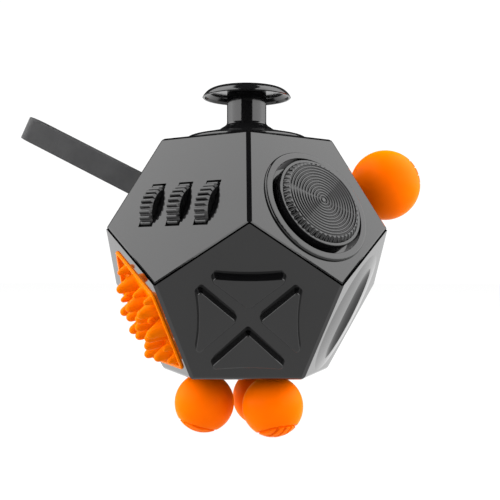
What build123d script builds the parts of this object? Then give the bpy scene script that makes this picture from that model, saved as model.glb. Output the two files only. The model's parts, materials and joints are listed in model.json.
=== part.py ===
from build123d import *
from math import atan, cos, degrees, radians, sin, sqrt
import os

# Twelve-sided fidget toy: a dodecahedral case with a different thing to play with on each face.
# Millimetres, +Z up. The origin is on the case's vertical axis, on the plane that the three feet
# balls stand on. Azimuths turn counter-clockwise from +X, seen from above.

# ---- Case ------------------------------------------------------------------------------------
GOLDEN = (1 + sqrt(5)) / 2
EDGE = 19.3                                            # edge of the sharp dodecahedron
FACE_DISTANCE = EDGE / 2 * sqrt(5 / 2 + 11 / 10 * sqrt(5))   # centre to each face
FACE_CORNER = EDGE / (2 * sin(radians(36)))            # face centre to its corner
WALL = 1.6
EDGE_BEVEL = 0.26                                      # flat bevel's depth below the sharp edge
PARTING_BEVEL = 0.07                                   # lower shell's fine bevel along the parting line
BASE_ROUNDING = 1.3                                    # round edges about the bottom face
PART_GAP = 0.38                                        # open line between the two shells
LIP_THICKNESS = 0.7                                    # locating lip inside the parting line
LIP_HEIGHT = 1.3
SIDE_TILT = degrees(atan(0.5))                         # side faces lean this much up or down
FACE_DROP = 0.9                                        # features sit this far below mid face

# ---- Joystick on the top face ----------------------------------------------------------------
PIVOT_DEPTH = 4.5                                      # gimbal centre below the top face
SKIRT_RADIUS = 8.6                                     # spherical skirt about the gimbal centre
SKIRT_THICKNESS = 0.8
SKIRT_ANGLE = 56                                       # skirt's rim, from the stick's axis
STEM_RADIUS = 3.7
HUB_DEPTH = 2.2                                        # stick's hub below the gimbal centre
CAP_RADIUS = 8.3
CAP_RIM_HEIGHT = 8.4                                   # cap's lower rim above the top face
CAP_TOP_HEIGHT = 10.25
CAP_CEILING = 9.4                                      # cap's hollow underside
BEZEL_RADIUS = 11.6
BEZEL_OPENING = 6.0
BEZEL_CLEARANCE = 0.15
BEZEL_SPIGOT = 10.1
CUP_FLOOR = -9.5
GIMBAL_PIN_RADIUS = 0.8
RUNNING_GAP = 0.04                                     # radial gap of every pin in its hole

# ---- Gear wheels -----------------------------------------------------------------------------
WHEEL_RADIUS = 5.2
TOOTH_HEIGHT = 0.6
TOOTH_RADIUS = 0.36
WHEEL_TEETH = 30
WHEEL_WIDTH = 2.7
WHEEL_PITCH = 6.0
WHEEL_DEPTH = 3.3                                      # axle below the face
WHEEL_OFFSET = -0.3                                    # middle wheel, sideways from mid face
SLOT_WIDTH = 3.1
SLOT_HEIGHT = 8.6
AXLE_RADIUS = 0.8
CRADLE_HALF_WIDTH = 8.6

# ---- Rotary dial -----------------------------------------------------------------------------
DIAL_DROP = 1.3
DIAL_RIM_OUTER = 10.66
DIAL_RIM_INNER = 9.3
DIAL_RIM_HEIGHT = 0.5
DIAL_FLOOR = -1.3                                      # floor of the dial's well
DIAL_RADIUS = 8.4
DIAL_SHOULDER = 1.4
DIAL_DISC_FOOT = 7.9                                   # ribbed cone between shoulder and top
DIAL_DISC_RADIUS = 7.3
DIAL_TOP = 2.2
DIAL_RIBS = 48
DIAL_GROOVES = 12
DIAL_SHAFT_RADIUS = 1.9

# ---- Thumb rest ------------------------------------------------------------------------------
SWELL_HEIGHT = 0.6                                     # face swells this much around the hollow
HOLLOW_DEPTH = 0.8                                     # hollow's floor below the flat face

# ---- Spike pad -------------------------------------------------------------------------------
PAD_RIM = 10.5                                         # distances from the pad's centre to its sides
PAD_FIELD = 9.7
PAD_NECK = 8.9
PAD_FLANGE = 9.4
PAD_RIM_HEIGHT = 0.35
PAD_FIELD_HEIGHT = -0.5
PAD_LEDGE = -0.9                                       # recess of the case that holds the rim
SPIKE_PITCH = 3.8
SPIKE_COLUMN = 3.75

# ---- Silicone balls --------------------------------------------------------------------------
BALL_RADIUS = 5.5
BALL_STANDOFF = 5.45                                   # ball centre from the bottom face
BALL_SPREAD = 7.8                                      # ball centres from the case's axis
BALL_FLAT = 0.12                                       # height of the flat at each ball's pole
BALL_NECK_RADIUS = 1.3
BALL_AZIMUTHS = (187, -53, 67)
BIG_BALL_RADIUS = 6.88
BIG_BALL_STANDOFF = 10.9
BIG_NECK_RADIUS = 2.4
MARK_RADIUS = 3.4                                      # ring and lines moulded at each ball's pole
MARK_WIDTH = 0.28
MARK_DEPTH = 0.22

# ---- Strap -----------------------------------------------------------------------------------
STRAP_WIDTH = 4.6
STRAP_REACH = 31.8                                     # end of the loop from the face
STRAP_RISE = 2.9                                       # strap's line above mid face
STRAP_END_RADIUS = 2.3
STRAP_THICKNESS = 1.1
STRAP_PIN_RADIUS = 0.75
STRAP_PIN_DEPTH = 1.2
STRAP_EYE_RADIUS = 1.95

# ---- Faces at the back -----------------------------------------------------------------------
BUTTON_RADIUS = 1.9
BUTTON_PITCH = 4.0
BUTTON_TRAVEL = 0.8
BUTTON_FLANGE = 2.35
ROCKER_WIDTH = 6.0
ROCKER_LENGTH = 11.0
ROCKER_PIVOT = -3.0                                    # rocker's pin, from the face
ROCKER_TILT = 8                                        # either way from level
ROLLER_RADIUS = 5.0
ROLLER_DEPTH = 2.9                                     # roller ball's centre below the face

CENTRE_HEIGHT = FACE_DISTANCE + BALL_STANDOFF + BALL_RADIUS - BALL_FLAT


def face_frame(azimuth, elevation):
    """Frame at the middle of a case face: x to the right seen from outside, z outward."""
    a = radians(azimuth)
    e = radians(elevation)
    normal = Vector(cos(e) * cos(a), cos(e) * sin(a), sin(e))
    across = Vector(-sin(a), cos(a), 0) if abs(elevation) < 89 else Vector(1, 0, 0)
    middle = Vector(0, 0, CENTRE_HEIGHT) + normal * FACE_DISTANCE
    return Plane(origin=middle, x_dir=across, z_dir=normal).location


TOP = face_frame(0, 90)
BOTTOM = face_frame(0, -90)
GEARS = face_frame(-126, SIDE_TILT)
DIAL = face_frame(-54, SIDE_TILT)
BIG_BALL = face_frame(18, SIDE_TILT)
BUTTONS = face_frame(90, SIDE_TILT)
STRAP = face_frame(162, SIDE_TILT)
CROSS_PADS = face_frame(-90, -SIDE_TILT)
THUMB_REST = face_frame(-18, -SIDE_TILT)
ROCKER = face_frame(54, -SIDE_TILT)
ROLLER = face_frame(126, -SIDE_TILT)
SPIKES = face_frame(-162, -SIDE_TILT)
ALL_FACES = (TOP, BOTTOM, GEARS, DIAL, BIG_BALL, BUTTONS,
             STRAP, CROSS_PADS, THUMB_REST, ROCKER, ROLLER, SPIKES)


def rod(radius, low, high):
    """Cylinder on the local z axis from low to high."""
    return Pos(0, 0, (low + high) / 2) * Cylinder(radius, high - low)


def ring(outer, inner, low, high):
    return rod(outer, low, high) - rod(inner, low - 1, high + 1)


def block(width, depth, low, high):
    return Pos(0, 0, (low + high) / 2) * Box(width, depth, high - low)


def turned(points):
    """Solid of revolution about the local z axis, from an outline of (radius, height) points."""
    outline = Plane.XZ * make_face(Polyline(*points, close=True))
    return revolve(outline, Axis.Z)


def pentagon(inradius, turn, low, high, corner):
    """Pentagonal prism with rounded corners; turn is the azimuth of its first corner."""
    outline = RegularPolygon(inradius, 5, major_radius=False, rotation=turn)
    outline = fillet(outline.vertices(), corner)
    return extrude(Pos(0, 0, low) * outline, high - low)


def dodecahedron(face_distance):
    solid = Pos(0, 0, CENTRE_HEIGHT) * Box(*[4 * face_distance] * 3)
    for frame in ALL_FACES:
        face = Plane(frame).offset(face_distance - FACE_DISTANCE)
        solid = split(solid, bisect_by=face, keep=Keep.BOTTOM)
    return solid


def bevelled(solid, parting_bevel):
    """Flat bevels on every edge but those of the bottom face."""
    centre = Vector(0, 0, CENTRE_HEIGHT)
    normals = [(frame.position - centre).normalized() for frame in ALL_FACES]
    for k, first in enumerate(normals):
        for second in normals[k + 1:]:
            across = first + second
            if first.dot(second) < 0 or across.Z < -1.4:
                continue
            outward = across.normalized()
            edge_distance = FACE_DISTANCE / outward.dot(first)
            depth = parting_bevel if abs(outward.Z) < 0.1 else EDGE_BEVEL
            cut = Plane(origin=centre + outward * (edge_distance - depth), z_dir=outward)
            solid = split(solid, bisect_by=cut, keep=Keep.BOTTOM)
    return solid


def lower_region(lift):
    """Everything inward of the five lower faces and the bottom face, seen from the centre."""
    reach = 1.4                                        # extends well past the case
    ring_radius = FACE_CORNER * GOLDEN
    ring_height = FACE_DISTANCE / GOLDEN ** 3

    def corner(radius, azimuth, height):
        a = radians(azimuth)
        return Vector(reach * radius * cos(a), reach * radius * sin(a), reach * height)

    apex = Vector(0, 0, 0)
    faces = []
    bottoms = [corner(FACE_CORNER, -54 + 72 * k, -FACE_DISTANCE) for k in range(5)]
    lows = [corner(ring_radius, -54 + 72 * k, -ring_height) for k in range(5)]
    highs = [corner(ring_radius, -90 + 72 * k, ring_height) for k in range(5)]
    faces.append(Face(Wire.make_polygon(bottoms)))
    for k in range(5):
        before = k - 1
        corners = [bottoms[before], bottoms[k], lows[k], highs[k], lows[before]]
        faces.append(Face(Wire.make_polygon(corners)))
        faces.append(Face(Wire.make_polygon([apex, lows[before], highs[k]])))
        faces.append(Face(Wire.make_polygon([apex, highs[k], lows[k]])))
    return Pos(0, 0, CENTRE_HEIGHT + lift) * Solid(Shell(faces))


# ---- Joystick --------------------------------------------------------------------------------
def sphere_shell(outer, inner, low_angle, high_angle):
    """Part of a spherical shell about the gimbal centre, between two angles from the axis."""
    low = radians(low_angle)
    high = radians(high_angle)
    middle = (low + high) / 2

    def at(radius, angle):
        return (radius * sin(angle), radius * cos(angle) - PIVOT_DEPTH)

    outline = Polyline(at(inner, low), at(outer, low))
    outline += ThreePointArc(at(outer, low), at(outer, middle), at(outer, high))
    outline += Polyline(at(outer, high), at(inner, high))
    outline += ThreePointArc(at(inner, high), at(inner, middle), at(inner, low))
    return revolve(Plane.XZ * make_face(outline), Axis.Z)


def thumbstick():
    """Cap, stem, domed skirt and gimbal hub, moulded in one piece."""
    crown = [(3.2, CAP_TOP_HEIGHT - 0.55), (4.3, CAP_TOP_HEIGHT - 0.06), (5.2, CAP_TOP_HEIGHT),
             (6.4, CAP_TOP_HEIGHT - 0.15), (7.35, CAP_TOP_HEIGHT - 0.6), (8.0, CAP_TOP_HEIGHT - 1.25),
             (CAP_RADIUS, CAP_RIM_HEIGHT + 0.15)]
    middle = (0, CAP_TOP_HEIGHT - 0.7)
    cap = Polyline(middle, crown[0]) + Spline(*crown)
    cap += Polyline(crown[-1], (CAP_RADIUS - 0.12, CAP_RIM_HEIGHT), (CAP_RADIUS - 0.4, CAP_RIM_HEIGHT),
                    (CAP_RADIUS - 0.55, CAP_RIM_HEIGHT + 0.5), (CAP_RADIUS - 1.35, CAP_CEILING),
                    (0, CAP_CEILING), middle)
    cap = revolve(Plane.XZ * make_face(cap), Axis.Z)
    skirt_top = sqrt(SKIRT_RADIUS ** 2 - STEM_RADIUS ** 2) - PIVOT_DEPTH
    flare_top = skirt_top + 0.4
    flare = turned([(0, skirt_top - 0.4), (STEM_RADIUS + 0.5, skirt_top - 0.25),
                    (STEM_RADIUS + 0.15, skirt_top + 0.05), (STEM_RADIUS, flare_top), (0, flare_top)])
    stem = rod(STEM_RADIUS, skirt_top - 0.3, CAP_CEILING + 0.1)
    skirt = sphere_shell(SKIRT_RADIUS, SKIRT_RADIUS - SKIRT_THICKNESS, 8, SKIRT_ANGLE)
    hub = rod(2.4, -PIVOT_DEPTH - HUB_DEPTH, skirt_top)
    pins = Pos(0, 0, -PIVOT_DEPTH) * Rot(90, 0, 0) * rod(GIMBAL_PIN_RADIUS, -5.0, 5.0)
    return TOP * (cap + stem + flare + skirt + hub + pins)


def gimbal_ring():
    body = ring(5.3, 3.9, -1.3, 1.3)
    body += Rot(0, 90, 0) * (rod(GIMBAL_PIN_RADIUS, -7.2, -4.6) + rod(GIMBAL_PIN_RADIUS, 4.6, 7.2))
    body -= Rot(90, 0, 0) * rod(GIMBAL_PIN_RADIUS + RUNNING_GAP, -8, 8)
    return TOP * Pos(0, 0, -PIVOT_DEPTH) * body


def joystick_cup():
    """Cup glued under the top wall; two posts on its floor carry the gimbal ring."""
    outer = 9.9
    inner = 9.2
    flange = -WALL - 1.0
    bottom = CUP_FLOOR - 0.8
    body = turned([(0, bottom), (outer, bottom), (outer, flange), (11.3, flange), (11.3, -WALL),
                   (outer, -WALL), (inner, flange), (inner, CUP_FLOOR), (0, CUP_FLOOR)])
    for side in (-1, 1):
        body += Pos(side * 6.7, 0, 0) * block(1.6, 3.4, CUP_FLOOR - 0.2, 1.5 - PIVOT_DEPTH)
    body -= Pos(0, 0, -PIVOT_DEPTH) * Rot(0, 90, 0) * rod(GIMBAL_PIN_RADIUS + RUNNING_GAP, -8, 8)
    return TOP * body


def joystick_bezel():
    """Low domed ring around the stick's opening, with a spigot in the top wall."""
    dome = [(BEZEL_OPENING, 2.05), (7.0, 1.8), (8.6, 1.45), (10.0, 1.15), (11.0, 0.85), (BEZEL_RADIUS, 0.35)]
    outline = Spline(*dome)
    outline += Polyline(dome[-1], (BEZEL_RADIUS, 0), (BEZEL_SPIGOT, 0), (BEZEL_SPIGOT, -WALL),
                        (BEZEL_OPENING, -WALL), dome[0])
    body = revolve(Plane.XZ * make_face(outline), Axis.Z)
    body -= Pos(0, 0, -PIVOT_DEPTH) * Sphere(SKIRT_RADIUS + BEZEL_CLEARANCE)
    return TOP * body


def joystick_spring():
    """Coil under the stick that brings it back upright."""
    coil = Helix(pitch=0.75, height=2.1, radius=1.7, center=(0, 0, CUP_FLOOR + 0.3))
    wire = Plane(origin=coil @ 0, z_dir=coil % 0) * Circle(0.2)
    return TOP * sweep(wire, path=coil, is_frenet=True)


# ---- Gear wheels -----------------------------------------------------------------------------
def wheel_centres():
    return [WHEEL_OFFSET + WHEEL_PITCH * k for k in (-1, 0, 1)]


def on_axle(x):
    """Frame on the axle at x, its z axis along the axle."""
    return GEARS * Pos(x, -FACE_DROP, -WHEEL_DEPTH) * Rot(0, 90, 0)


def gear_wheel(x):
    """Wheel with round-topped teeth, chamfered at both rims."""
    root = WHEEL_RADIUS - TOOTH_HEIGHT
    half = WHEEL_WIDTH / 2
    tooth = Pos(WHEEL_RADIUS - TOOTH_RADIUS, 0) * Circle(TOOTH_RADIUS)
    tooth += Pos(root, 0) * Rectangle(2 * (TOOTH_HEIGHT - TOOTH_RADIUS), 2 * TOOTH_RADIUS)
    outline = Circle(root)
    for k in range(WHEEL_TEETH):
        outline += Rot(0, 0, 360 * k / WHEEL_TEETH) * tooth
    wheel = Pos(0, 0, -half) * extrude(outline, WHEEL_WIDTH)
    wheel = wheel & turned([(0, -half), (root, -half), (WHEEL_RADIUS, 0.3 - half),
                            (WHEEL_RADIUS, half - 0.3), (root, half), (0, half)])
    wheel -= rod(AXLE_RADIUS + RUNNING_GAP, -WHEEL_WIDTH, WHEEL_WIDTH)
    return on_axle(x) * wheel


def gear_axle():
    return on_axle(WHEEL_OFFSET) * rod(AXLE_RADIUS, -CRADLE_HALF_WIDTH, CRADLE_HALF_WIDTH)


def gear_cradle():
    """Frame glued behind the gear face: it carries the axle and parts the wheels."""
    body = Pos(WHEEL_OFFSET, -FACE_DROP, 0) * block(2 * CRADLE_HALF_WIDTH, 11.8, -6.2, -WALL)
    for x in wheel_centres():
        body -= Pos(x, -FACE_DROP, 0) * block(WHEEL_WIDTH + 0.7, 11.0, -7, 0)
    body -= GEARS.inverse() * on_axle(WHEEL_OFFSET) * rod(AXLE_RADIUS, -10, 10)
    return GEARS * body


# ---- Dial ------------------------------------------------------------------------------------
def dial_rim():
    """Raised ring of the case around the dial's well, and the well's wall and floor."""
    floor_edge = DIAL_RIM_INNER + 0.3
    well_bottom = DIAL_FLOOR - 1.2
    wall_overlap = 0.1 - WALL
    body = turned([(0, well_bottom), (floor_edge, well_bottom), (floor_edge, wall_overlap),
                   (DIAL_RIM_OUTER, wall_overlap), (DIAL_RIM_OUTER, DIAL_RIM_HEIGHT),
                   (DIAL_RIM_INNER, DIAL_RIM_HEIGHT), (DIAL_RIM_INNER, DIAL_FLOOR), (0, DIAL_FLOOR)])
    top_edges = body.edges().filter_by(GeomType.CIRCLE).group_by(Axis.Z)[-1].sort_by(SortBy.RADIUS)
    body = fillet(top_edges[-1], 0.42)
    top_edges = body.edges().filter_by(GeomType.CIRCLE).group_by(Axis.Z)[-1].sort_by(SortBy.RADIUS)
    return fillet(top_edges[0], 0.1)


def dial():
    """Turning disc with a ribbed cone and fine concentric ridges, on its shaft."""
    foot = DIAL_FLOOR + 0.3
    body = turned([(0, foot), (DIAL_RADIUS - 0.2, foot), (DIAL_RADIUS, foot + 0.2),
                   (DIAL_RADIUS, DIAL_SHOULDER - 0.07), (DIAL_RADIUS - 0.07, DIAL_SHOULDER),
                   (DIAL_DISC_FOOT, DIAL_SHOULDER), (DIAL_DISC_RADIUS, DIAL_TOP), (0, DIAL_TOP)])
    slope = degrees(atan((DIAL_DISC_FOOT - DIAL_DISC_RADIUS) / (DIAL_TOP - DIAL_SHOULDER)))
    valley = Pos(DIAL_DISC_FOOT + 0.06, 0, DIAL_SHOULDER + 0.05) * Rot(0, -slope, 0) * rod(0.3, 0, 2)
    body -= Compound([Rot(0, 0, 360 * k / DIAL_RIBS) * valley for k in range(DIAL_RIBS)])
    pitch = (DIAL_DISC_RADIUS - 0.5) / DIAL_GROOVES
    groove_floor = DIAL_TOP - 0.16
    above = DIAL_TOP + 0.05
    for k in range(1, DIAL_GROOVES + 1):
        radius = pitch * k
        body -= turned([(radius - 0.25, above), (radius - 0.03, groove_floor),
                        (radius + 0.03, groove_floor), (radius + 0.25, above)])
    body += rod(DIAL_SHAFT_RADIUS, -4.6, foot + 0.1)
    body -= ring(DIAL_SHAFT_RADIUS + 1, DIAL_SHAFT_RADIUS - 0.4, -4.0, -3.2)
    return DIAL * Pos(0, -DIAL_DROP, 0) * body


def dial_clip():
    """Spring clip in the shaft's groove, which holds the dial in the case."""
    clip = ring(3.6, DIAL_SHAFT_RADIUS - 0.4, -3.9, -3.3)
    clip -= Pos(2.5, 0, 0) * block(5, 2.2, -5, -2)
    return DIAL * Pos(0, -DIAL_DROP, 0) * clip


# ---- Silicone pad and balls ------------------------------------------------------------------
def spike_places():
    """Large spikes stand in staggered columns; small ones fill the corners and the edge."""
    large = [(0, SPIKE_PITCH * k - 5.2) for k in range(4)]
    small = [(0, 8.9)]
    for side in (-1, 1):
        large += [(side * SPIKE_COLUMN, SPIKE_PITCH * k - 7.2) for k in range(3)]
        large += [(side * (2 * SPIKE_COLUMN - 0.4), SPIKE_PITCH * k - 2.4) for k in range(2)]
        small += [(side * (SPIKE_COLUMN - 0.2), 4.4), (side * 6.9, -5.9), (side * 9.5, 3.2),
                  (side * 6.0, -8.4), (side * 5.6, -0.5), (side * 1.9, -8.4)]
    return large, small


def spike(base, height, tip):
    return turned([(0, 0), (base, 0), (tip + 0.25 * (base - tip), 0.62 * height), (tip, height - tip * 0.7),
                   (0.72 * tip, height - 0.25 * tip), (0.3 * tip, height), (0, height)])


def spike_pad():
    """Silicone pad snapped into the pentagonal opening of its face."""
    body = pentagon(PAD_RIM, 90, PAD_LEDGE, PAD_RIM_HEIGHT, 1.4)
    body = fillet(body.edges().group_by(Axis.Z)[-1], 0.25)
    body -= pentagon(PAD_FIELD, 90, PAD_FIELD_HEIGHT, 2, 1.0)
    body += pentagon(PAD_NECK, 90, -2.0, PAD_LEDGE, 1.0)
    body += pentagon(PAD_FLANGE, 90, -2.6, -WALL, 1.2)
    large, small = spike_places()
    foot = PAD_FIELD_HEIGHT - 0.1
    for x, y in large:
        body += Pos(x, y, foot) * spike(1.75, 3.8, 0.8)
    for x, y in small:
        body += Pos(x, y, foot) * spike(1.1, 2.3, 0.5)
    return SPIKES * Pos(0, -FACE_DROP, 0) * body


def spike_backing():
    """Stiff plate glued behind the pad."""
    return SPIKES * Pos(0, -FACE_DROP, 0) * pentagon(PAD_FLANGE, 90, -3.6, -2.6, 1.2)


def pole_marks(radius, centre):
    """Fine ring with parallel lines across it, cut into the outer end of a ball."""
    inside = Pos(0, 0, centre) * Sphere(radius - MARK_DEPTH)
    low = centre + radius / 2
    high = centre + radius + 1
    marks = []
    for y in (-1.95, -0.65, 0.65, 1.95):
        line = block(2 * sqrt(MARK_RADIUS ** 2 - y ** 2), MARK_WIDTH, low, high)
        marks.append(Pos(0, y, 0) * line - inside)
    ring_height = centre + sqrt(radius ** 2 - MARK_RADIUS ** 2)
    marks.append(Pos(0, 0, ring_height) * Torus(MARK_RADIUS, 0.75 * MARK_DEPTH))
    return marks


def neck_and_plug(neck_radius, top):
    """Neck through the case wall, with a wide plug inside that holds it."""
    return rod(neck_radius, -3.4, top) + rod(neck_radius + 1.3, -3.6, -2.4)


def ball_frame(azimuth):
    """Frame on the bottom face at a feet ball, local x away from the middle of the face."""
    return BOTTOM * Rot(0, 0, -azimuth) * Pos(BALL_SPREAD, 0, 0)


def ball(azimuth):
    body = Pos(0, 0, BALL_STANDOFF) * Sphere(BALL_RADIUS)
    body -= block(20, 20, BALL_STANDOFF + BALL_RADIUS - BALL_FLAT, 30)
    body += neck_and_plug(BALL_NECK_RADIUS, BALL_STANDOFF)
    for mark in pole_marks(BALL_RADIUS, BALL_STANDOFF):
        body -= mark
    return ball_frame(azimuth) * body


def big_ball():
    body = Pos(0, 0, BIG_BALL_STANDOFF) * Sphere(BIG_BALL_RADIUS)
    body += neck_and_plug(BIG_NECK_RADIUS, BIG_BALL_STANDOFF)
    groove_radius = 0.72 * BIG_BALL_RADIUS
    groove_height = BIG_BALL_STANDOFF + sqrt(BIG_BALL_RADIUS ** 2 - groove_radius ** 2)
    body -= Pos(0, 0, groove_height) * Torus(groove_radius, 0.22)
    return BIG_BALL * body


# ---- Strap -----------------------------------------------------------------------------------
def strap_line(z):
    """Frame at height z on the strap's line: local y points out, local z along the pin."""
    return STRAP * Pos(0, STRAP_RISE, z) * Rot(90, 0, 0)


def strap():
    """Moulded silicone loop, a flat band that passes round the pin in its pocket."""
    end = STRAP_REACH - STRAP_END_RADIUS

    def teardrop(eye, tip, eye_height, width):
        hull = make_hull((Pos(0, eye_height) * Circle(eye)).edges() + (Pos(0, end) * Circle(tip)).edges())
        return Pos(0, 0, -width / 2) * extrude(hull, width)

    body = teardrop(STRAP_EYE_RADIUS, STRAP_END_RADIUS, -STRAP_PIN_DEPTH, STRAP_WIDTH)
    body -= teardrop(0.3, STRAP_END_RADIUS - STRAP_THICKNESS, 5.5, 2 * STRAP_WIDTH)
    body -= Pos(0, -STRAP_PIN_DEPTH) * rod(STRAP_PIN_RADIUS + RUNNING_GAP, -5, 5)
    return strap_line(0) * body


def strap_pin():
    return strap_line(0) * Pos(0, -STRAP_PIN_DEPTH, 0) * rod(STRAP_PIN_RADIUS, -3.9, 3.9)


# ---- Faces at the back -----------------------------------------------------------------------
def button_places():
    return [(0, 0)] + [(x, y) for y in (-BUTTON_PITCH, BUTTON_PITCH) for x in (-BUTTON_PITCH, BUTTON_PITCH)]


def button(x, y):
    cap = turned([(0, -2.0), (BUTTON_RADIUS, -2.0), (BUTTON_RADIUS, 0.75), (BUTTON_RADIUS - 0.3, 1.1),
                  (BUTTON_RADIUS - 0.8, 1.25), (0, 1.35)])
    flange = rod(BUTTON_FLANGE, -2.3, -WALL - 0.06)
    stem = rod(1.0, -4.2, -2.2)
    return BUTTONS * Pos(x, y - FACE_DROP, 0) * (cap + flange + stem)


def button_housing():
    """Shallow box glued behind the button face; its floor stops the buttons."""
    floor = -5.3
    body = block(14.0, 14.0, floor - 0.9, -WALL) - block(13.0, 13.0, floor, 0)
    for x, y in button_places():
        body += Pos(x, y, 0) * ring(1.7, 1.15, floor, -2.3 - BUTTON_TRAVEL - 0.15)
    return BUTTONS * Pos(0, -FACE_DROP, 0) * body


def rocker_frame():
    """Box glued behind the rocker face, with the holes of the rocker's pin."""
    body = block(10.2, 14.6, -7.0, -WALL) - block(ROCKER_WIDTH + 0.7, 12.6, -6.2, 0)
    body -= Pos(0, 0, ROCKER_PIVOT) * Rot(0, 90, 0) * rod(0.8, -9, 9)
    return ROCKER * Pos(0, -FACE_DROP, 0) * body


def rocker():
    """Two-way switch, resting tipped to its lower side."""
    half = ROCKER_LENGTH / 2 - 0.4
    outline = Polyline((-half, -1.8), (-half, 1.3), (0, 0.6), (half, 1.3), (half, -1.8),
                       (1.5, -4.6), (-1.5, -4.6), close=True)
    body = extrude(Plane.YZ * make_face(outline), ROCKER_WIDTH / 2, both=True)
    body = fillet(body.edges().filter_by(Axis.X).group_by(Axis.Z)[-1], 0.3)
    body = Pos(0, 0, -ROCKER_PIVOT) * body
    body -= Rot(0, 90, 0) * rod(0.8 + RUNNING_GAP, -9, 9)
    return ROCKER * Pos(0, -FACE_DROP, ROCKER_PIVOT) * Rot(ROCKER_TILT, 0, 0) * body


def rocker_pin():
    return ROCKER * Pos(0, -FACE_DROP, ROCKER_PIVOT) * Rot(0, 90, 0) * rod(0.8, -5.0, 5.0)


def roller_ball():
    return ROLLER * Pos(0, -FACE_DROP, -ROLLER_DEPTH) * Sphere(ROLLER_RADIUS)


def roller_cup():
    """Cup glued behind the roller's face."""
    body = rod(6.9, -9.2, -WALL) - Pos(0, 0, -ROLLER_DEPTH) * Sphere(ROLLER_RADIUS + 0.25)
    body -= rod(ROLLER_RADIUS + 0.25, -ROLLER_DEPTH, 0)
    return ROLLER * Pos(0, -FACE_DROP, 0) * body


# ---- Case ------------------------------------------------------------------------------------
def pad_section(height, radius, inner, first, middle, last):
    """Three-cornered outline with one bowed edge: inner corner, outer corner, mid edge, corner."""
    outline = make_face(Line(inner, first) + ThreePointArc(first, middle, last) + Line(last, inner))
    return Pos(0, 0, height) * fillet(outline.vertices(), radius)


def cross_pads():
    """Four raised pads with sloping walls, which leave an X-shaped channel between them."""
    height = 1.7
    upper = (((0, 0.7), (-8.35, 8.15), (0, 7.2), (8.35, 8.15)),
             ((0, 1.4), (-6.9, 7.25), (0, 6.8), (6.9, 7.25)))
    lower = (((0, -3.0), (-8.0, -10.75), (0, -10.2), (8.0, -10.75)),
             ((0, -3.3), (-6.75, -10.3), (0, -9.8), (6.75, -10.3)))
    side = (((1.45, -0.9), (9.5, 6.4), (8.6, -0.9), (9.6, -8.9)),
            ((2.0, -0.9), (8.5, 5.25), (8.15, -0.9), (9.0, -7.75)))
    pads = []
    for foot, top in (upper, lower, side):
        pad = loft([pad_section(-0.2, 0.9, *foot), pad_section(height, 0.5, *top)], ruled=True)
        pads.append(fillet(pad.edges().group_by(Axis.Z)[-1], 0.25))
    pads.append(mirror(pads[-1], Plane.YZ))
    return [CROSS_PADS * pad for pad in pads]


def stretched_ball(x, y, z, height):
    """Ellipsoid of the given half sizes, its centre at a height on the local z axis."""
    return Pos(0, 0, height) * scale(Sphere(1), by=(x, y, z))


def thumb_swell():
    """Very gentle swelling of the face around the thumb's hollow."""
    depth = 5.0
    overlap = 0.05
    return stretched_ball(24.4, 26.0, depth + SWELL_HEIGHT, -depth) & block(40, 40, -overlap, 2)


def thumb_hollow():
    """Long oval hollow with a crisp edge, for stroking with a thumb."""
    height = 2.0
    return stretched_ball(5.4, 11.9, height + HOLLOW_DEPTH, height)


def case(outer):
    """Whole case before it is parted: walls, moulded rests, wells and openings."""
    body = outer - dodecahedron(FACE_DISTANCE - WALL)
    body += THUMB_REST * Pos(0, -0.6, 0) * thumb_swell()
    body -= THUMB_REST * Pos(0, -0.6, 0) * thumb_hollow()
    for pad in cross_pads():
        body += pad
    body += DIAL * Pos(0, -DIAL_DROP, 0) * dial_rim()
    body -= DIAL * Pos(0, -DIAL_DROP, 0) * rod(DIAL_RIM_INNER, DIAL_FLOOR, DIAL_RIM_HEIGHT - 0.2)
    body -= DIAL * Pos(0, -DIAL_DROP, 0) * rod(DIAL_SHAFT_RADIUS + 0.08, -5, 0)
    body -= TOP * rod(BEZEL_SPIGOT, -5, 1)
    for x in wheel_centres():
        slot = fillet(Rectangle(SLOT_WIDTH, SLOT_HEIGHT).vertices(), 0.35)
        body -= GEARS * Pos(x, -FACE_DROP, -3) * extrude(slot, 5)
        body -= on_axle(x) * rod(WHEEL_RADIUS + 0.25, -SLOT_WIDTH / 2, SLOT_WIDTH / 2)
    body -= SPIKES * Pos(0, -FACE_DROP, 0) * pentagon(PAD_NECK, 90, -3, 1, 1.0)
    body -= SPIKES * Pos(0, -FACE_DROP, 0) * pentagon(PAD_RIM, 90, PAD_LEDGE, 1, 1.4)
    body -= BIG_BALL * rod(BIG_NECK_RADIUS + 0.7, -3, 1)
    for azimuth in BALL_AZIMUTHS:
        body -= ball_frame(azimuth) * rod(BALL_NECK_RADIUS + 0.6, -3, 1)
        body -= ball_frame(azimuth) * Pos(0, 0, BALL_STANDOFF) * Sphere(BALL_RADIUS + 0.6)
    body += STRAP * Pos(0, STRAP_RISE, 0) * block(10, 8.4, -4.7, -0.4)
    body -= STRAP * Pos(0, STRAP_RISE, 0) * block(8, 6.4, -3.7, 1)
    body -= strap_pin()
    for x, y in button_places():
        body -= BUTTONS * Pos(x, y - FACE_DROP, 0) * rod(BUTTON_RADIUS + 0.15, -3, 1)
    body -= ROCKER * Pos(0, -FACE_DROP, 0) * block(ROCKER_WIDTH + 0.4, ROCKER_LENGTH + 1.0, -3, 1)
    body -= ROLLER * Pos(0, -FACE_DROP, -ROLLER_DEPTH) * Sphere(ROLLER_RADIUS + 0.25)
    return body


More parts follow.
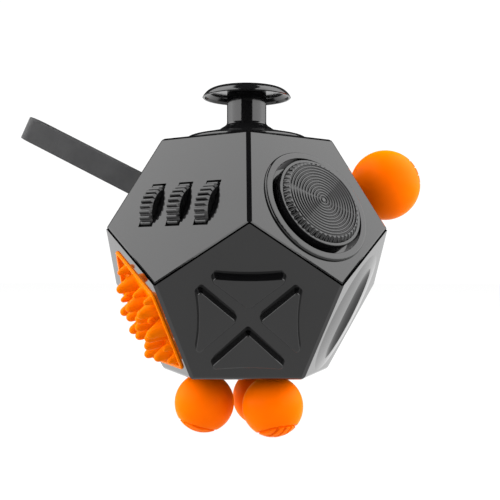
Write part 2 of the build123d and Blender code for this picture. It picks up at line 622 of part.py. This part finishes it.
def shells():
    """Upper and lower shell, parted along the zigzag of edges round the middle."""
    sharp = dodecahedron(FACE_DISTANCE)
    round_base = fillet(sharp.edges().group_by(Axis.Z)[0], BASE_ROUNDING)
    upper = case(bevelled(sharp, EDGE_BEVEL)) - lower_region(PART_GAP / 2)
    lower = case(bevelled(round_base, PARTING_BEVEL)) & lower_region(-PART_GAP / 2)
    lip = dodecahedron(FACE_DISTANCE - WALL) - dodecahedron(FACE_DISTANCE - WALL - LIP_THICKNESS)
    lip = (lip & lower_region(LIP_HEIGHT)) - lower_region(-LIP_HEIGHT)
    return upper, lower + lip


# ---- Output ----------------------------------------------------------------------------------
def build():
    upper, lower = shells()
    nodes = {
        "upper_shell": upper,
        "lower_shell": lower,
        "joystick_bezel": joystick_bezel(),
        "joystick_cup": joystick_cup(),
        "joystick_spring": joystick_spring(),
        "gimbal_ring": gimbal_ring(),
        "thumbstick": thumbstick(),
        "gear_cradle": gear_cradle(),
        "gear_axle": gear_axle(),
        "dial": dial(),
        "dial_clip": dial_clip(),
        "spike_pad": spike_pad(),
        "spike_backing": spike_backing(),
        "big_ball": big_ball(),
        "strap": strap(),
        "strap_pin": strap_pin(),
        "button_housing": button_housing(),
        "rocker": rocker(),
        "rocker_pin": rocker_pin(),
        "rocker_frame": rocker_frame(),
        "roller_ball": roller_ball(),
        "roller_cup": roller_cup(),
    }
    for k, x in enumerate(wheel_centres()):
        nodes[f"gear_wheel_{k + 1}"] = gear_wheel(x)
    for k, azimuth in enumerate(BALL_AZIMUTHS):
        nodes[f"ball_{k + 1}"] = ball(azimuth)
    for k, (x, y) in enumerate(button_places()):
        nodes[f"button_{k + 1}"] = button(x, y)
    return nodes


os.makedirs("parts", exist_ok=True)
for name, shape in build().items():
    export_step(shape, f"parts/{name}.step")
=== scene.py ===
import json
from math import atan2, cos, degrees, pi, radians, sin, sqrt

import bmesh
import bpy
from mathutils import Matrix, Vector


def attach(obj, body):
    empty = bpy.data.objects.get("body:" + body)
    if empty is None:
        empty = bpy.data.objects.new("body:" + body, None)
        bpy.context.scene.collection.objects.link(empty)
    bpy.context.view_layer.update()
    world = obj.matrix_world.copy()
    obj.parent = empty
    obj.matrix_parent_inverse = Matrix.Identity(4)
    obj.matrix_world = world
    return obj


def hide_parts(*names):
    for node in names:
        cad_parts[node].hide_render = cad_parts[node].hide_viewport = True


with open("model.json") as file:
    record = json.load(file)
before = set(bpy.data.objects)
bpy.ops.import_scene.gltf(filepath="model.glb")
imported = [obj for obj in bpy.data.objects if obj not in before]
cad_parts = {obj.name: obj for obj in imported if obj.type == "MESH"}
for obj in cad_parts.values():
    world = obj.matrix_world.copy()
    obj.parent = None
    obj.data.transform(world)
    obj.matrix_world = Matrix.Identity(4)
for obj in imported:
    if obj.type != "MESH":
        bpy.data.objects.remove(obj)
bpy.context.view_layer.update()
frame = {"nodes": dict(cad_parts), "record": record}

# Twelve-sided fidget toy. The hard CAD nodes keep their shapes and get their materials here. The
# silicone parts and the joystick's spring are rebuilt as finer meshes that replace their CAD solids.
# Metres, +Z up. Local face frames have x to the right seen from outside, y up the face, z outward.

MM = 0.001

# ---- Driving dimensions, the same as the part's source ---------------------------------------
EDGE = 19.3 * MM
FACE_DISTANCE = EDGE / 2 * sqrt(5 / 2 + 11 / 10 * sqrt(5))
SIDE_TILT = degrees(atan2(1, 2))

BALL_RADIUS = 5.5 * MM
BALL_STANDOFF = 5.45 * MM
BALL_SPREAD = 7.8 * MM
BALL_FLAT = 0.12 * MM
CENTRE = Vector((0, 0, FACE_DISTANCE + BALL_STANDOFF + BALL_RADIUS - BALL_FLAT))
BALL_NECK = 1.3 * MM
BALL_AZIMUTHS = (187, -53, 67)                         # degrees round the bottom face
BALL_LEAN = 17                                         # degrees that the marks point outward
BALL_SEGMENTS = 256
BIG_BALL_AZIMUTH = 18                                  # of its face, in degrees
BIG_BALL_RADIUS = 6.88 * MM
BIG_BALL_STANDOFF = 10.9 * MM
BIG_NECK = 2.4 * MM
BIG_BALL_SEGMENTS = 288
NECK_SPREAD = 0.55 * MM                                # fillet where a neck meets its ball
NECK_FILLET = 0.5 * MM
NECK_STEPS = 8
PLUG_TOP = -2.4 * MM
PLUG_BOTTOM = -3.6 * MM
PLUG_FLARE = 1.3 * MM
PLUG_CHAMFER = 0.15 * MM

MARK_RING = 0.64                                       # in ball radii
MARK_SPACING = 0.236
MARK_HALF_WIDTH = 0.21 * MM
MARK_SHOULDER = 0.1 * MM
MARK_DEPTH = 0.42 * MM
MARKED_CAP = 60                                        # degrees from the pole with a fine mesh
MARKED_STEPS = 120
PLAIN_STEPS = 36

SPRING_RADIUS = 1.7 * MM                               # to the middle of the wire
SPRING_WIRE = 0.2 * MM
SPRING_TURNS = 2.8
SPRING_FOOT = -9.2 * MM                                # wire's middle, from the top face
SPRING_RISE = 1.9 * MM                                 # leaves room for the tilting hub
SPRING_STEPS = 144
SPRING_SIDES = 16

PAD_VOXEL = 0.13 * MM
STRAP_VOXEL = 0.14 * MM
SOFTENING_PASSES = 5
WELD_DISTANCE = 0.0005 * MM

# ---- Camera ----------------------------------------------------------------------------------
CAMERA_AZIMUTH = -1.285
CAMERA_ELEVATION = -1.551
CAMERA_ROLL = 0.118
CAMERA_OFFSET = Vector((-0.171, -9.205, -0.179)) * EDGE       # from the case's centre
CAMERA_LENS = 68.30
SENSOR = 36.0

# ---- Studio ----------------------------------------------------------------------------------
STUDIO_RADIUS = 1.2
FLOOR_REACH = 3 * STUDIO_RADIUS
FLOOR_SIDES = 64
SOFTBOX_FRONT = 33                                     # degrees round from the camera's side
SOFTBOX_BACK = 145
SOFTBOX_LOW = 1
SOFTBOX_HIGH = 72
SOFTBOX_POWER = 3.45
SOFTBOX_FALL = 0.24                                    # strength left at the back
SOFTBOX_FALL_START = 0.17 * STUDIO_RADIUS              # behind the object's centre
SOFTBOX_FALL_END = 0.8 * STUDIO_RADIUS
SOFTBOX_COLUMNS = 36
SOFTBOX_ROWS = 18
FILL_AZIMUTH = 100
FILL_ELEVATION = 28
FILL_DISTANCE = 0.5
FILL_SIZE = 0.4
FILL_POWER = 2.2
ROOM_LIGHT = 0.02
FLOOR_GLOW = 0.99
BACKDROP_GLOW = 1.05


# ---- Materials -------------------------------------------------------------------------------
class Shader:
    """A material's node tree with short calls for the nodes used here."""

    def __init__(self, name):
        self.material = bpy.data.materials.new(name)
        self.material.use_nodes = True
        self.tree = self.material.node_tree
        self.tree.nodes.clear()
        self.output = self.tree.nodes.new("ShaderNodeOutputMaterial")
        self.place = self.tree.nodes.new("ShaderNodeTexCoord").outputs["Object"]

    def node(self, kind, inputs=None, **settings):
        made = self.tree.nodes.new(kind)
        for key, value in settings.items():
            setattr(made, key, value)
        for key, value in (inputs or {}).items():
            if isinstance(value, bpy.types.NodeSocket):
                self.tree.links.new(value, made.inputs[key])
            else:
                made.inputs[key].default_value = value
        return made

    def noise(self, scale, detail=3.0, rough=0.5, place=None):
        return self.node("ShaderNodeTexNoise", {"Vector": place or self.place, "Scale": scale,
                                                "Detail": detail, "Roughness": rough}).outputs["Fac"]

    def spread(self, value, low, high, start=0.3, end=0.7):
        """value mapped from start..end to low..high, clamped."""
        return self.node("ShaderNodeMapRange", {"Value": value, "From Min": start, "From Max": end,
                                                "To Min": low, "To Max": high}).outputs["Result"]

    def blend(self, amount, first, second):
        mix = self.node("ShaderNodeMix", data_type="RGBA")
        self.tree.links.new(amount, mix.inputs["Factor"])
        mix.inputs["A"].default_value = (*first, 1)
        mix.inputs["B"].default_value = (*second, 1)
        return mix.outputs["Result"]

    def bump(self, height, distance, strength=1.0, below=None):
        inputs = {"Height": height, "Distance": distance, "Strength": strength}
        if below is not None:
            inputs["Normal"] = below
        return self.node("ShaderNodeBump", inputs).outputs["Normal"]

    def surface(self, colour, roughness, normal, constants):
        """Principled surface; constants are values set directly on its sockets."""
        made = self.node("ShaderNodeBsdfPrincipled", {"Base Color": colour, "Roughness": roughness,
                                                      "Normal": normal, **constants})
        self.tree.links.new(made.outputs["BSDF"], self.output.inputs["Surface"])
        return self.material


def moulded_plastic(name, dark, light, polish, polish_spread, ripple):
    """Injection-moulded plastic: faint flow marks in colour, uneven polish, very low ripple."""
    s = Shader(name)
    colour = s.blend(s.spread(s.noise(90, 2.0), 0, 1), dark, light)
    gloss = s.spread(s.noise(420, 4.0), polish - polish_spread, polish + polish_spread)
    normal = s.bump(s.noise(2600, 2.0), ripple)
    return s.surface(colour, gloss, normal, {"IOR": 1.5})


def silicone(name, dark, light, polish, grain, constants):
    """Soft moulded rubber: cloudy pigment, satin skin with a fine grain in two sizes."""
    s = Shader(name)
    colour = s.blend(s.spread(s.noise(160, 3.0), 0, 1), dark, light)
    gloss = s.spread(s.noise(900, 3.0), polish - 0.06, polish + 0.06)
    fine = s.bump(s.noise(5200, 2.0), grain)
    normal = s.bump(s.noise(700, 2.0), grain * 1.5, below=fine)
    return s.surface(colour, gloss, normal, {"IOR": 1.41, **constants})


def brushed_steel(name):
    s = Shader(name)
    stretched = s.node("ShaderNodeMapping", {"Vector": s.place, "Scale": (1.0, 1.0, 14.0)})
    lines = s.noise(1400, 4.0, place=stretched.outputs["Vector"])
    colour = s.blend(s.spread(lines, 0, 1), (0.46, 0.46, 0.47), (0.66, 0.66, 0.67))
    return s.surface(colour, s.spread(lines, 0.2, 0.36), s.bump(lines, 0.004 * MM), {"Metallic": 1.0})


def orange_skin(sheen):
    """Faint gloss and an orange sheen, which keeps the rims of the silicone from darkening."""
    return {"Specular IOR Level": 0.02, "Sheen Weight": sheen, "Sheen Roughness": 0.45,
            "Sheen Tint": (1.0, 0.5, 0.0, 1.0)}


MATERIALS = {
    "case_plastic": moulded_plastic("case_black", (0.0028, 0.0028, 0.003), (0.004, 0.004, 0.0043),
                                    0.07, 0.02, 0.0012 * MM),
    "control_plastic": moulded_plastic("control_black", (0.003, 0.003, 0.0033), (0.005, 0.005, 0.0053),
                                       0.1, 0.03, 0.002 * MM),
    "wheel_plastic": moulded_plastic("wheel_black", (0.004, 0.004, 0.0043), (0.007, 0.007, 0.0073),
                                     0.18, 0.04, 0.003 * MM),
    "dial_plastic": moulded_plastic("dial_black", (0.004, 0.004, 0.0043), (0.006, 0.006, 0.0063),
                                    0.13, 0.03, 0.002 * MM),
    "button_plastic": moulded_plastic("button_orange", (0.88, 0.15, 0.001), (0.95, 0.18, 0.002),
                                      0.2, 0.04, 0.002 * MM),
    "roller_plastic": moulded_plastic("roller_orange", (0.88, 0.14, 0.001), (0.95, 0.17, 0.002),
                                      0.12, 0.03, 0.0015 * MM),
    "inner_plastic": moulded_plastic("inner_grey", (0.03, 0.03, 0.032), (0.05, 0.05, 0.052),
                                     0.5, 0.08, 0.01 * MM),
    "orange_silicone": silicone("orange_silicone", (0.9, 0.125, 0.0), (0.97, 0.142, 0.0),
                                0.34, 0.004 * MM, orange_skin(0.35)),
    # Darker copy of the orange silicone for the spike pad: its darker base colour is painted shade
    # among the spikes
    "pad_silicone_painted_shade": silicone("pad_silicone_painted_shade", (0.7, 0.14, 0.0), (0.78, 0.16, 0.0),
                             0.34, 0.004 * MM, orange_skin(0.25)),
    "strap_silicone": silicone("strap_silicone", (0.03, 0.03, 0.031), (0.042, 0.042, 0.043),
                               0.62, 0.01 * MM, {"Specular IOR Level": 0.3}),
    "steel": brushed_steel("bright_steel"),
}


# ---- Studio ----------------------------------------------------------------------------------
def stage_mesh(name, vertices, faces, material):
    mesh = bpy.data.meshes.new(name)
    mesh.from_pydata(vertices, [], faces)
    mesh.materials.append(material)
    made = bpy.data.objects.new(name, mesh)
    bpy.context.scene.collection.objects.link(made)
    return made


def glow(name, strength):
    """Material that gives off even white light; strength is a number or makes a socket."""
    s = Shader(name)
    emission = s.node("ShaderNodeEmission", {"Color": (1, 1, 1, 1)})
    if callable(strength):
        s.tree.links.new(strength(s), emission.inputs["Strength"])
    else:
        emission.inputs["Strength"].default_value = strength
    s.tree.links.new(emission.outputs["Emission"], s.output.inputs["Surface"])
    return s.material


def floor_material():
    """Pale matt floor, lit from within so that the shadows on it stay faint."""
    s = Shader("pale_floor")
    mottle = s.noise(6, 3.0)
    colour = s.blend(s.spread(mottle, 0, 1), (0.035, 0.035, 0.035), (0.045, 0.045, 0.045))
    return s.surface(colour, s.spread(mottle, 0.85, 0.95), s.bump(mottle, 0.01 * MM),
                     {"Emission Color": (1, 1, 1, 1), "Emission Strength": FLOOR_GLOW,
                      "Specular IOR Level": 0.0})


def floor_and_backdrop():
    """Round floor, and a white dome that only the camera sees."""
    turns = [2 * pi * k / FLOOR_SIDES for k in range(FLOOR_SIDES)]
    rim = [(FLOOR_REACH * cos(t), FLOOR_REACH * sin(t), 0) for t in turns]
    stage_mesh("floor", rim, [range(FLOOR_SIDES)], floor_material())
    bpy.ops.mesh.primitive_uv_sphere_add(segments=48, ring_count=24, radius=FLOOR_REACH)
    backdrop = bpy.context.active_object
    backdrop.name = "backdrop"
    backdrop.data.materials.append(glow("backdrop_white", BACKDROP_GLOW))
    backdrop.visible_diffuse = False
    backdrop.visible_glossy = False
    backdrop.visible_transmission = False
    backdrop.visible_shadow = False


def studio_direction(azimuth, elevation):
    """Unit vector; azimuth in degrees round from the camera's side, to the right."""
    a = radians(azimuth)
    e = radians(elevation)
    return Vector((cos(e) * sin(a), -cos(e) * cos(a), sin(e)))


def softbox(name, side):
    """Curved light bank beside the object, dimmer towards the back."""
    vertices = []
    for i in range(SOFTBOX_COLUMNS + 1):
        azimuth = SOFTBOX_FRONT + (SOFTBOX_BACK - SOFTBOX_FRONT) * i / SOFTBOX_COLUMNS
        for j in range(SOFTBOX_ROWS + 1):
            elevation = SOFTBOX_LOW + (SOFTBOX_HIGH - SOFTBOX_LOW) * j / SOFTBOX_ROWS
            vertices.append(CENTRE + studio_direction(side * azimuth, elevation) * STUDIO_RADIUS)
    faces = []
    for i in range(SOFTBOX_COLUMNS):
        for j in range(SOFTBOX_ROWS):
            a = i * (SOFTBOX_ROWS + 1) + j
            faces.append((a, a + 1, a + SOFTBOX_ROWS + 2, a + SOFTBOX_ROWS + 1))

    def falling(s):
        depth = s.node("ShaderNodeSeparateXYZ", {"Vector": s.place}).outputs["Y"]
        return s.spread(depth, SOFTBOX_POWER, SOFTBOX_POWER * SOFTBOX_FALL,
                        SOFTBOX_FALL_START, SOFTBOX_FALL_END)

    made = stage_mesh(name, vertices, faces, glow(name + "_light", falling))
    made.visible_camera = False


def fill_light(name, side):
    """Soft lamp that lights matt surfaces from the side and shows in no reflection."""
    out = studio_direction(side * FILL_AZIMUTH, FILL_ELEVATION)
    data = bpy.data.lights.new(name, "AREA")
    data.size = FILL_SIZE
    data.energy = FILL_POWER
    made = bpy.data.objects.new(name, data)
    bpy.context.scene.collection.objects.link(made)
    made.location = CENTRE + out * FILL_DISTANCE
    made.rotation_euler = out.to_track_quat("Z", "Y").to_euler()
    made.visible_glossy = False


def studio():
    floor_and_backdrop()
    softbox("softbox_left", -1)
    softbox("softbox_right", 1)
    fill_light("fill_left", -1)
    fill_light("fill_right", 1)
    world = bpy.data.worlds.new("dim_room")
    world.use_nodes = True
    world.node_tree.nodes["Background"].inputs["Color"].default_value = (1, 1, 1, 1)
    world.node_tree.nodes["Background"].inputs["Strength"].default_value = ROOM_LIGHT
    bpy.context.scene.world = world
    bpy.context.scene.view_settings.view_transform = "Standard"


def camera():
    azimuth = radians(CAMERA_AZIMUTH)
    roll = radians(CAMERA_ROLL)
    back = studio_direction(CAMERA_AZIMUTH, CAMERA_ELEVATION)
    right = Vector((cos(azimuth), sin(azimuth), 0))
    up = back.cross(right)
    turned_right = right * cos(roll) + up * sin(roll)
    turned_up = up * cos(roll) - right * sin(roll)
    data = bpy.data.cameras.new("camera")
    data.lens = CAMERA_LENS
    data.sensor_width = SENSOR
    data.clip_start = 0.005
    data.clip_end = 20
    made = bpy.data.objects.new("camera", data)
    bpy.context.scene.collection.objects.link(made)
    axes = Matrix((turned_right, turned_up, back)).transposed().to_4x4()
    made.matrix_world = Matrix.Translation(CENTRE + CAMERA_OFFSET) @ axes
    bpy.context.scene.camera = made


# ---- Places ----------------------------------------------------------------------------------
def face_frame(azimuth, elevation):
    """Frame at the middle of a case face: x to the right seen from outside, z outward."""
    a = radians(azimuth)
    e = radians(elevation)
    normal = Vector((cos(e) * cos(a), cos(e) * sin(a), sin(e)))
    level = abs(elevation) == 90
    across = Vector((1, 0, 0)) if level else Vector((-sin(a), cos(a), 0))
    axes = Matrix((across, normal.cross(across), normal)).transposed().to_4x4()
    return Matrix.Translation(CENTRE + normal * FACE_DISTANCE) @ axes


# ---- Pieces ----------------------------------------------------------------------------------
def piece(name, mesh, body, slot, *nodes, material=None):
    """Smooth-shaded object that stands for CAD nodes and rides on their body.

    It has the slot's own material unless another is named.
    """
    mesh.shade_smooth()
    mesh.materials.clear()
    mesh.materials.append(MATERIALS[material or slot])
    made = bpy.data.objects.new(name, mesh)
    bpy.context.scene.collection.objects.link(made)
    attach(made, body)
    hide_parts(*nodes)
    return made


def closed_mesh(name, shape):
    """Mesh with outward normals from a bmesh, which is freed."""
    bmesh.ops.recalc_face_normals(shape, faces=shape.faces)
    mesh = bpy.data.meshes.new(name)
    shape.to_mesh(mesh)
    shape.free()
    return mesh


def lathed(name, outline, segments, place, carve):
    """Closed mesh turned about local z; outline is (radius, height) points from pole to pole."""
    shape = bmesh.new()
    rings = []
    for radius, height in outline:
        count = 1 if radius == 0 else segments
        turns = [2 * pi * k / segments for k in range(count)]
        points = [carve(Vector((radius * cos(t), radius * sin(t), height))) for t in turns]
        rings.append([shape.verts.new(place @ point) for point in points])
    for above, below in zip(rings, rings[1:]):
        for k in range(segments):
            corners = [above[k % len(above)], below[k % len(below)],
                       below[(k + 1) % len(below)], above[(k + 1) % len(above)]]
            shape.faces.new(dict.fromkeys(corners))
    return closed_mesh(name, shape)


def smooth_step(value):
    t = min(max(value, 0.0), 1.0)
    return t * t * (3 - 2 * t)


def pole_marks(radius, standoff, flat, lean):
    """Fine ring with parallel lines across it, sunk into a ball; they lean from z towards x."""
    ring_radius = MARK_RING * radius
    spacing = MARK_SPACING * radius
    centre = Vector((0, 0, standoff))
    upright = Matrix.Rotation(radians(-lean), 3, "Y")

    def carve(point):
        out = point - centre
        leant = upright @ out
        if out.z < 0 or leant.z < radius / 2:
            return point
        reach = sqrt(leant.x ** 2 + leant.y ** 2)
        nearest = abs(reach - ring_radius)
        if reach < ring_radius:
            from_line = leant.y / spacing % 1 - 0.5
            nearest = min(nearest, abs(from_line) * spacing)
        depth = MARK_DEPTH * smooth_step((MARK_HALF_WIDTH - nearest) / MARK_SHOULDER)
        sunk = out * (1 - depth / radius)
        sunk.z = min(sunk.z, radius - flat)
        return centre + sunk

    return carve


def ball_outline(radius, standoff, neck):
    """From the outer pole over the ball and down its neck to the plug inside the case."""
    fine = radians(MARKED_CAP)
    last = pi - (neck + NECK_SPREAD) / radius
    angles = [fine * k / MARKED_STEPS for k in range(MARKED_STEPS)]
    angles += [fine + (last - fine) * k / PLAIN_STEPS for k in range(PLAIN_STEPS + 1)]
    outline = [(radius * sin(t), standoff + radius * cos(t)) for t in angles]
    outline[0] = (0, standoff + radius)
    root, root_height = outline[-1]
    for k in range(1, NECK_STEPS + 1):
        t = k / NECK_STEPS
        outline.append((neck + (root - neck) * (1 - t) ** 2, root_height - NECK_FILLET * t))
    plug = neck + PLUG_FLARE
    cut = PLUG_CHAMFER
    outline += [(neck, PLUG_TOP + cut), (neck + cut, PLUG_TOP), (plug - cut, PLUG_TOP),
                (plug, PLUG_TOP - cut), (plug, PLUG_BOTTOM + cut), (plug - cut, PLUG_BOTTOM),
                (0, PLUG_BOTTOM)]
    return outline


def silicone_balls():
    bottom = face_frame(0, -90)
    outline = ball_outline(BALL_RADIUS, BALL_STANDOFF, BALL_NECK)
    carve = pole_marks(BALL_RADIUS, BALL_STANDOFF, BALL_FLAT, BALL_LEAN)
    for k, azimuth in enumerate(BALL_AZIMUTHS):
        turn = Matrix.Rotation(radians(-azimuth), 4, "Z")
        place = bottom @ turn @ Matrix.Translation((BALL_SPREAD, 0, 0))
        mesh = lathed(f"foot_ball_{k + 1}", outline, BALL_SEGMENTS, place, carve)
        piece(f"foot_ball_{k + 1}", mesh, f"ball_{k + 1}", "orange_silicone", f"ball_{k + 1}")
    outline = ball_outline(BIG_BALL_RADIUS, BIG_BALL_STANDOFF, BIG_NECK)
    carve = pole_marks(BIG_BALL_RADIUS, BIG_BALL_STANDOFF, 0, 0)
    place = face_frame(BIG_BALL_AZIMUTH, SIDE_TILT)
    mesh = lathed("side_ball", outline, BIG_BALL_SEGMENTS, place, carve)
    piece("side_ball", mesh, "big_ball", "orange_silicone", "big_ball")


def return_spring():
    """Coil of round wire under the stick, closed at both ends."""
    place = face_frame(0, 90)
    sweep = 2 * pi * SPRING_TURNS
    slope = SPRING_RISE / (sweep * SPRING_RADIUS)
    round_wire = [2 * pi * k / SPRING_SIDES for k in range(SPRING_SIDES)]
    shape = bmesh.new()
    rings = []
    for i in range(SPRING_STEPS + 1):
        turn = sweep * i / SPRING_STEPS
        outward = Vector((cos(turn), sin(turn), 0))
        over = outward.cross(Vector((-sin(turn), cos(turn), slope)).normalized())
        height = SPRING_FOOT + SPRING_RISE * i / SPRING_STEPS
        middle = outward * SPRING_RADIUS + Vector((0, 0, height))
        points = [middle + (outward * cos(t) + over * sin(t)) * SPRING_WIRE for t in round_wire]
        rings.append([shape.verts.new(place @ point) for point in points])
    for first, second in zip(rings, rings[1:]):
        for k in range(SPRING_SIDES):
            shape.faces.new((first[k - 1], first[k], second[k], second[k - 1]))
    shape.faces.new(rings[0])
    shape.faces.new(rings[-1])
    mesh = closed_mesh("return_spring", shape)
    piece("return_spring", mesh, "case", "steel", "joystick_spring")


def softened(name, node, voxel):
    """Copy of a CAD node's solid with soft moulded edges, as an even mesh."""
    shape = bmesh.new()
    shape.from_mesh(frame["nodes"][node].data)
    bmesh.ops.remove_doubles(shape, verts=shape.verts, dist=WELD_DISTANCE)
    mesh = bpy.data.meshes.new(name + "_rough")
    shape.to_mesh(mesh)
    shape.free()
    rough = bpy.data.objects.new(name + "_rough", mesh)
    bpy.context.scene.collection.objects.link(rough)
    remesh = rough.modifiers.new("even", "REMESH")
    remesh.mode = "VOXEL"
    remesh.voxel_size = voxel
    smooth = rough.modifiers.new("soft", "SMOOTH")
    smooth.factor = 0.5
    smooth.iterations = SOFTENING_PASSES
    bpy.context.view_layer.update()
    done = bpy.data.meshes.new_from_object(rough.evaluated_get(bpy.context.evaluated_depsgraph_get()))
    done.name = name
    bpy.data.objects.remove(rough)
    return done


# ---- Put together ----------------------------------------------------------------------------
def paint_cad_nodes():
    """Every CAD node gets the material of its slot in the record."""
    for row in frame["record"]["subparts"]:
        materials = frame["nodes"][row["node"]].data.materials
        materials.clear()
        materials.append(MATERIALS[row["material_slot"]])


studio()
camera()
paint_cad_nodes()
silicone_balls()
return_spring()
# The spike pad wears the darker copy of the orange silicone, which paints shade on it
piece("spiked_pad", softened("spiked_pad", "spike_pad", PAD_VOXEL), "case", "orange_silicone",
      "spike_pad", material="pad_silicone_painted_shade")
piece("strap_loop", softened("strap_loop", "strap", STRAP_VOXEL), "strap", "strap_silicone", "strap")
